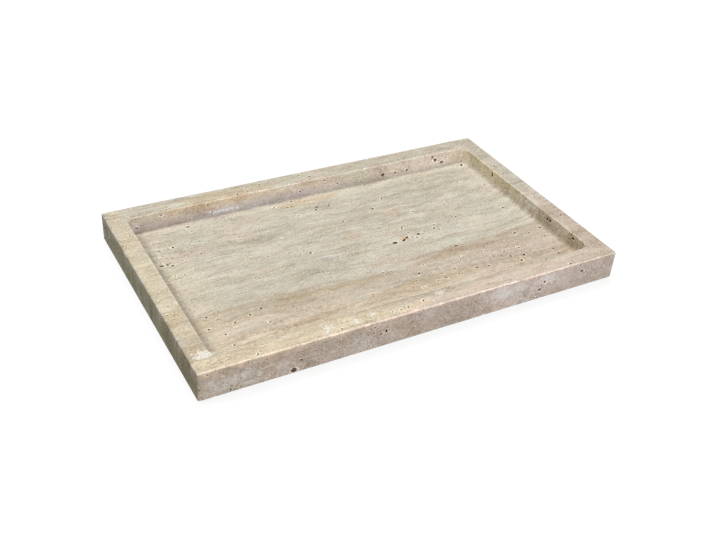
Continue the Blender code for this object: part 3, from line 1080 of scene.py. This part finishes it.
# %% Foamy places, with filled pores and calcite cells: centre, reach, how much
POROUS = [
    ((70, -55, 11), (75, 24, 8), 0.2), ((-40, -84, 22), (70, 8, 6), 0.14),
    ((-125, -90, 10), (28, 4, 9), 0.62), ((72, -90, 13), (44, 4, 14), 0.5),
    ((130, -60, 22), (25, 30, 8), 0.14), ((-125, -40, 14), (16, 40, 10), 0.1),
    ((-44, -90, 10), (12, 4, 8), 0.22), ((80, 76, 14), (24, 4, 8), 0.26),
    ((-120, 38, 11), (22, 8, 6), 0.18), ((40, -4, 11), (16, 7, 6), 0.18),
    ((-85, -68, 11), (30, 9, 6), 0.16),
]


# %% [markdown]
# The paint goes on in steps, one short function each. They all ask the same of a place: where it lies in
# the beds, how its crystals look, which way its surface faces, and how ragged the edge of a patch is. So
# the answers are read once for each finish and handed on together.

# %% What every step reads
def read_stone(tree, place, facing):
    """The readings of a place that the steps share."""
    bed_place = use(tree, beds, Place=place)["Bed Place"]
    crystals = use(tree, grain, Place=place)
    broken = cloud(tree, place, (3.2, 2.6, 3.0), detail=3.0, rough=0.6, shift=13.3)
    return SimpleNamespace(
        tree=tree, place=place, facing=facing, bed_place=bed_place, crystals=crystals,
        ways=add(tree, "SeparateXYZ", {0: facing}).outputs,
        streak=use(tree, streaks, Bed_Place=bed_place),
        ragged=total(tree, 0.0, (crystals["Cloud"], 1.6), (broken, 1.0), (crystals["Mottle"], 0.5)),
    )


def within(read, centre, reach, ragged=None, edge=0.5):
    """How far a place lies inside a soft patch."""
    ragged = read.ragged if ragged is None else ragged
    inputs = {"Place": read.place, "Centre": centre, "Reach": reach, "Ragged": ragged, "Edge": edge}
    return use(read.tree, patch, **inputs)["Inside"]


# %% Step: the tone of the beds
CLOUD_SHARE = 0.38
SAWN_FROM, SAWN_TO, SAWN_COARSER = 0.9, 0.99, 1.7


def ramp(tree, value, stops):
    """A colour ramp over a value from nought to one."""
    made = add(tree, "ValToRGB", {0: value})
    while len(made.color_ramp.elements) < len(stops):
        made.color_ramp.elements.new(0.5)
    for element, (position, colour) in zip(made.color_ramp.elements, stops):
        element.position = position
        element.color = (*colour, 1)
    return made.outputs[0]


def bed_colour(read, tone_shift, crumbly):
    """The colour of the beds. The end faces, sawn across them, are coarser."""
    tree = read.tree
    end_on = maths(tree, "ABSOLUTE", read.ways["X"])
    coarseness = smooth(tree, end_on, SAWN_FROM, SAWN_TO, crumbly, SAWN_COARSER * crumbly)
    mottle = times(tree, read.crystals["Mottle"], coarseness)
    shares = ((read.streak["Tone"], 1.0), (read.crystals["Cloud"], CLOUD_SHARE), (mottle, 1.0))
    colour = ramp(tree, total(tree, 0.5 + tone_shift, *shares), TONES)
    colour = mix(tree, smooth(tree, read.streak["Tint"], 0.0, 0.2), colour, PINKER, "MULTIPLY")
    return mix(tree, smooth(tree, read.streak["Tint"], 0.0, -0.2), colour, GREENER, "MULTIPLY")


# %% Step: patches and seams that tint
# Each seam: its tint, how much of it is left in the depth of the bed, and the strength of the seam's line
SEAM_TINTS = {"tan_seam": ((0.91, 0.87, 0.81), 0.5, 0.2), "pink_seam": ((0.96, 0.93, 0.89), 0.3, 0.25)}
SEAM_FADES_AT = 12.0


def tint_patches(read, colour):
    """Tint the patches. Those of the pocket floor tint only what faces up."""
    facing_up = smooth(read.tree, read.ways["Z"], 0.3, 0.8)
    for rows, where in ((TINTS, 1.0), (FLOOR_TINTS, facing_up)):
        for tint, centre, reach in rows:
            colour = cover(read.tree, colour, tint, within(read, centre, reach), where, "MULTIPLY")
    return colour


def tint_past_seam(read, colour, name):
    """Tint the bed past a seam, most at the seam and less with depth, and draw the seam's thin line."""
    tree, (tint, left_over, line_strength) = read.tree, SEAM_TINTS[name]
    past = use(tree, seams[name], Place=read.place)["Past"]
    step = smooth(tree, past, -0.4, 0.6)
    fade = smooth(tree, past, 0.5, SEAM_FADES_AT, 1.0, left_over)
    colour = cover(tree, colour, tint, step, fade, "MULTIPLY")
    line = smooth(tree, maths(tree, "ABSOLUTE", maths(tree, "SUBTRACT", past, 0.3)), 0.1, 0.8, 1.0, 0.0)
    return cover(tree, colour, LINE_BROWN, line, line_strength)


# %% Step: thin lines, pale threads and spots
LINE_STRENGTH, THREAD_STRENGTH = 0.32, 0.35
THREAD_WIDTH, THREAD_SHIFT = 0.015, (31, 17, 5)


def draw_lines(read, colour, pale_stone):
    """Draw the brown lines between the beds, and finer pale ones."""
    tree = read.tree
    line = use(tree, lines, Bed_Place=read.bed_place)["Line"]
    colour = cover(tree, colour, LINE_BROWN, line, LINE_STRENGTH)
    thread = use(tree, lines, Bed_Place=read.bed_place, Shift=THREAD_SHIFT, Width=THREAD_WIDTH)["Line"]
    return cover(tree, colour, pale_stone, thread, THREAD_STRENGTH)


def lay_spots(read, colour):
    """Lay the spots that have a colour of their own, with splintered edges."""
    tree = read.tree
    splinters = cloud(tree, read.place, (1.7, 1.5, 1.6), detail=2.0, shift=21.7)
    ragged = total(tree, SPOT_BREAK, (read.ragged, 0.8), (splinters, 2.4))
    for spot, centre, reach, strength in SPOTS:
        colour = cover(tree, colour, spot, within(read, centre, reach, ragged, SPOT_EDGE), strength)
    return colour


# %% Step: filled pores and calcite cells
PORES_ANYWHERE = 0.04
# Each kind of pore: spacing in millimetres, strength of the dark rim, and of the pale filling
PORE_KINDS = [(3.4, 0.25, 0.65), (1.5, 0.1, 0.55)]
WALLS_PER_SHARE = 2.4


def pore_share(read):
    """The share of the cells that are pores, higher in the foamy places."""
    share = PORES_ANYWHERE
    for centre, reach, amount in POROUS:
        share = maths(read.tree, "MULTIPLY_ADD", within(read, centre, reach), amount, share)
    return share


def fill_pores(read, colour, pale_stone, share):
    """Fill pores with calcite, and draw the walls of the cells."""
    tree = read.tree
    for spacing, dark, pale in PORE_KINDS:
        pore = use(tree, pores, Place=read.place, Share=share, Spacing=spacing)
        colour = cover(tree, colour, LINE_BROWN, pore["Rim"], dark)
        colour = cover(tree, colour, pale_stone, pore["Filled"], pale)
    strength = total(tree, -PORES_ANYWHERE, (share, WALLS_PER_SHARE))
    walls = times(tree, use(tree, foam, Place=read.place)["Wall"], strength)
    return mix(tree, maths(tree, "MAXIMUM", walls, 0.0), colour, pale_stone)


# %% All the steps, from bed to surface
CRUST_STRENGTH, HOLE_STRENGTH = 0.4, 0.75
PINHOLES_ANYWHERE, PINHOLES_PER_SHARE = 0.34, 0.5
BUMP_REACH = 0.1 * MM


def paint_stone(tree, shader, place, facing, tone_shift, shade, crumbly, rough, relief):
    """The stone's colour, roughness and bump."""
    read = read_stone(tree, place, facing)
    colour = tint_patches(read, bed_colour(read, tone_shift, crumbly))
    for name in SEAM_TINTS:
        colour = tint_past_seam(read, colour, name)
    pale_stone = mix(tree, 0.5, mix(tree, 1.0, colour, LIGHTER, "MULTIPLY"), CHALK)
    colour = lay_spots(read, draw_lines(read, colour, pale_stone))
    share = pore_share(read)
    colour = fill_pores(read, colour, pale_stone, share)

    holes_share = total(tree, PINHOLES_ANYWHERE, (share, PINHOLES_PER_SHARE))
    pinhole = use(tree, pinholes, Place=place, Bed_Place=read.bed_place, Share=holes_share)
    colour = cover(tree, colour, pale_stone, pinhole["Crust"], CRUST_STRENGTH)
    colour = cover(tree, colour, HOLE_BROWN, pinhole["Hole"], HOLE_STRENGTH)
    # Paler arrises: wear, with a painted highlight in the same tint.
    worn_and_highlit = use(tree, worn_and_highlit_edges, Place=place, Facing=facing)["Worn"]
    colour = mix(tree, worn_and_highlit, colour, WORN_AND_HIGHLIGHT_TINT, "MULTIPLY")
    tree.links.new(mix(tree, 1.0, colour, shade, "MULTIPLY"), shader.inputs["Base Color"])

    gloss = total(tree, rough, (read.streak["Tone"], -0.35), (worn_and_highlit, -0.06), (pinhole["Hole"], 0.3))
    tree.links.new(gloss, shader.inputs["Roughness"])
    groove = use(tree, saw_marks, Place=place, Facing=facing)["Groove"]
    height = total(tree, 0.0, (pinhole["Hole"], -1.5), (read.crystals["Height"], 1.0), (groove, 2.5))
    bump = add(tree, "Bump", {"Height": height, "Strength": relief, "Distance": BUMP_REACH})
    tree.links.new(bump.outputs[0], shader.inputs["Normal"])


# %% Materials: honed, fresh and void wall
# How far up the tones, a colour over it, strength of the mottle, roughness and strength of the bump
FINISHES = [
    (0.0, (1.0, 1.0, 1.0), 0.95, 0.50, 0.25), (0.3, (1.10, 1.09, 1.07), 1.9, 0.75, 0.6),
    # The void walls are browner stone, and also painted shade: they are darker than the hollows alone
    # make them.
    (-0.2, (0.56, 0.47, 0.38), 1.0, 0.9, 0.9),
]
STONE_SPECULAR = 0.02
for material, finish in zip(stone_finishes, FINISHES):
    tree, shader, place, facing = start_material(material)
    shader.inputs["Specular IOR Level"].default_value = STONE_SPECULAR
    paint_stone(tree, shader, place, facing, *finish)
    print("material:", material.name, "nodes:", len(tree.nodes))

# %% [markdown]
# ## Bumper pads
# The pads are moulded in soft clear silicone, which looks milky where it is thick. Their shape in the
# model is right, so they stay, and only get their finish.

# %% Material: silicone
silicone = bpy.data.materials.new("milky_silicone")
tree, shader, place, _ = start_material(silicone)
speck = add(tree, "TexNoise", {"Vector": place, "Scale": 1.4, "Detail": 3.0}).outputs[0]
tree.links.new(mix(tree, speck, (0.70, 0.70, 0.66), (0.80, 0.80, 0.77)), shader.inputs["Base Color"])
tree.links.new(smooth(tree, speck, 0.3, 0.7, 0.30, 0.48), shader.inputs["Roughness"])
shader.inputs["Subsurface Weight"].default_value = 0.3
shader.inputs["Subsurface Scale"].default_value = 0.6 * MM
for name, node in frame["nodes"].items():
    if name.startswith("bumper_pad"):
        for slot_index in range(len(node.material_slots)):
            node.material_slots[slot_index].material = silicone
